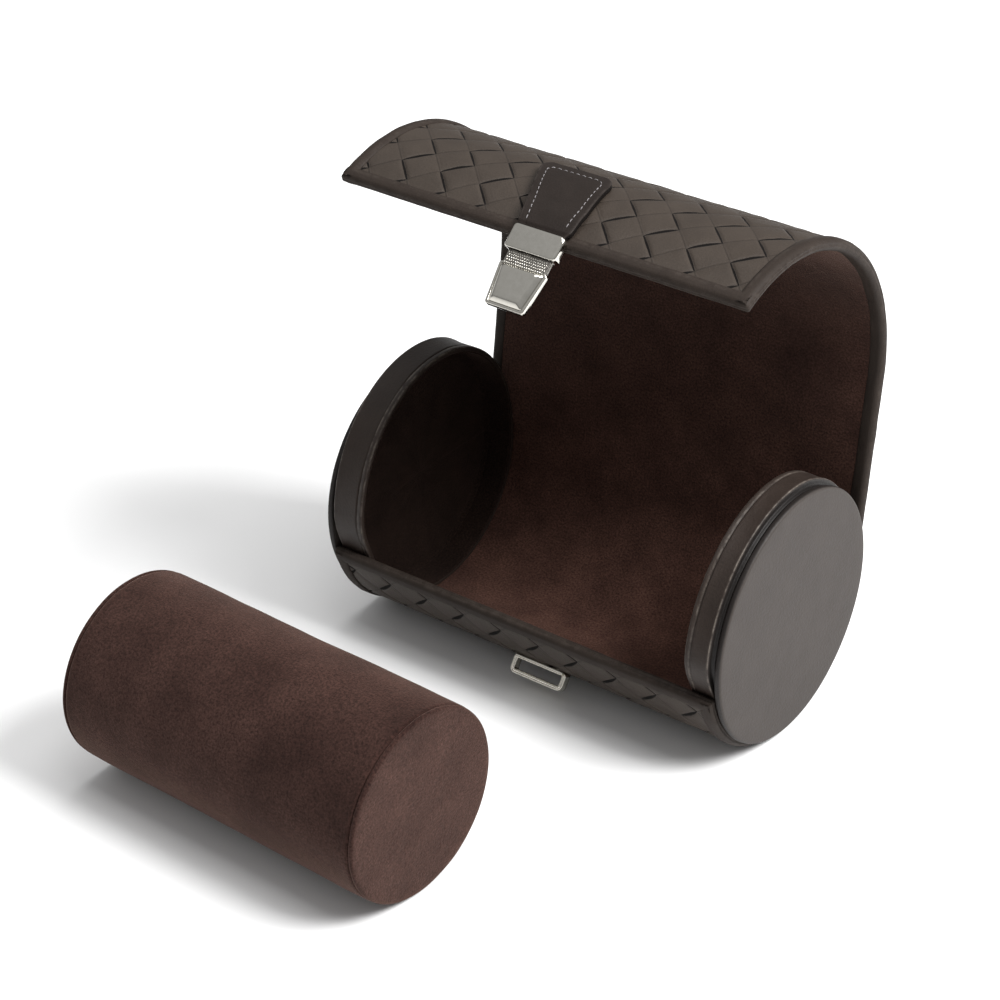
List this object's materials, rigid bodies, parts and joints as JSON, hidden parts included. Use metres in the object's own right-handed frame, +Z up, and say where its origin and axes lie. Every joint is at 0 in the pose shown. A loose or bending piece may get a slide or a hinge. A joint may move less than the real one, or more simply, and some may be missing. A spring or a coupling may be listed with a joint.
{
  "type": "watch travel case",
  "caption": "Cylindrical leather travel case for wrist watches, with an unrolling lid, a tuck clasp with its keeper loop, and a loose suede watch cushion",
  "frame": {"origin": "on the floor under the middle of the round base, at the middle of the flat strip that it stands on", "axes": "+X along the case's axis to the right as seen from the open front, +Y to the back wall that the lid unrolls from, +Z up"},
  "size_m": [0.1588, 0.2149, 0.1707],
  "materials": {
    "woven_leather": "dark brown leather pressed in a diagonal basket weave",
    "smooth_leather": "dark brown smooth leather, slightly glossy along its edges",
    "disc_leather": "fine grained brown leather over a padded board",
    "suede_lining": "dark brown microsuede lining",
    "cushion_suede": "brown microsuede with a mottled nap",
    "board": "grey-brown bookbinder's board",
    "foam": "cream open foam",
    "nickel": "polished nickel plate"
  },
  "bodies": {
    "case_base": {"base_leather": "woven_leather", "base_stiffener": "board", "base_lining": "suede_lining", "base_binding": "smooth_leather", "end_disc_left": "disc_leather", "end_disc_right": "disc_leather", "cup_board_left": "board", "cup_board_right": "board", "cup_band_left": "smooth_leather", "cup_band_right": "smooth_leather", "cup_lining_left": "suede_lining", "cup_lining_right": "suede_lining", "keeper_loop": "nickel", "keeper_backplate": "nickel", "keeper_rivets": "nickel"},
    "lid_wall_low": {"lid_leather_1": "woven_leather", "lid_stiffener_1": "board", "lid_lining_1": "suede_lining", "lid_binding_1": "smooth_leather"},
    "lid_wall_mid": {"lid_leather_2": "woven_leather", "lid_stiffener_2": "board", "lid_lining_2": "suede_lining", "lid_binding_2": "smooth_leather"},
    "lid_wall_high": {"lid_leather_3": "woven_leather", "lid_stiffener_3": "board", "lid_lining_3": "suede_lining", "lid_binding_3": "smooth_leather"},
    "lid_shoulder": {"lid_leather_4": "woven_leather", "lid_stiffener_4": "board", "lid_lining_4": "suede_lining", "lid_binding_4": "smooth_leather"},
    "lid_top": {"lid_leather_5": "woven_leather", "lid_stiffener_5": "board", "lid_lining_5": "suede_lining", "lid_binding_5": "smooth_leather"},
    "lid_front": {"lid_leather_6": "woven_leather", "lid_stiffener_6": "board", "lid_lining_6": "suede_lining", "lid_binding_6": "smooth_leather", "tab_leather": "smooth_leather"},
    "clasp": {"tab_end": "smooth_leather", "clasp_ferrule": "nickel", "ferrule_rivets": "nickel", "catch_pin": "nickel"},
    "catch": {"clasp_tongue": "nickel", "clasp_nose": "nickel", "catch_spring": "nickel"},
    "watch_cushion": {"cushion_core": "board", "cushion_plug_left": "board", "cushion_plug_right": "board", "cushion_foam": "foam", "cushion_cover": "cushion_suede", "cushion_end_left": "cushion_suede", "cushion_end_right": "cushion_suede"}
  },
  "joints": [
    {"name": "wall_fold_1", "type": "hinge", "parent": "case_base", "child": "lid_wall_low", "pos_m": [0, 0.04061, 0.04255], "axis": [1, 0, 0], "range_deg": [0, 5]},
    {"name": "lid_fold", "type": "hinge", "parent": "lid_wall_low", "child": "lid_wall_mid", "pos_m": [0, 0.04256, 0.05843], "axis": [1, 0, 0], "range_deg": [0, 25]},
    {"name": "wall_fold_3", "type": "hinge", "parent": "lid_wall_mid", "child": "lid_wall_high", "pos_m": [0, 0.04451, 0.07431], "axis": [1, 0, 0], "range_deg": [0, 25]},
    {"name": "shoulder_fold", "type": "hinge", "parent": "lid_wall_high", "child": "lid_shoulder", "pos_m": [0, 0.04646, 0.09019], "axis": [1, 0, 0], "range_deg": [0, 25]},
    {"name": "top_fold", "type": "hinge", "parent": "lid_shoulder", "child": "lid_top", "pos_m": [0, 0.04198, 0.13564], "axis": [1, 0, 0], "range_deg": [0, 11.25]},
    {"name": "front_fold", "type": "hinge", "parent": "lid_top", "child": "lid_front", "pos_m": [0, 0.01121, 0.16192], "axis": [1, 0, 0], "range_deg": [0, 11.25]},
    {"name": "tab_flex", "type": "hinge", "parent": "lid_front", "child": "clasp", "pos_m": [0.0022, -0.03157, 0.16545], "axis": [1, 0, 0], "range_deg": [-80, 0]},
    {"name": "catch_press", "type": "hinge", "parent": "clasp", "child": "catch", "pos_m": [0.0022, -0.03573, 0.16036], "axis": [1, 0, 0], "range_deg": [0, 8], "stiffness_Nm_per_rad": 0.02, "springref_deg": -5.73},
    {"name": "cushion_lift", "type": "slide", "parent": "case_base", "child": "watch_cushion", "axis": [0, 0, 1], "range_m": [0, 0.12]}
  ]
}
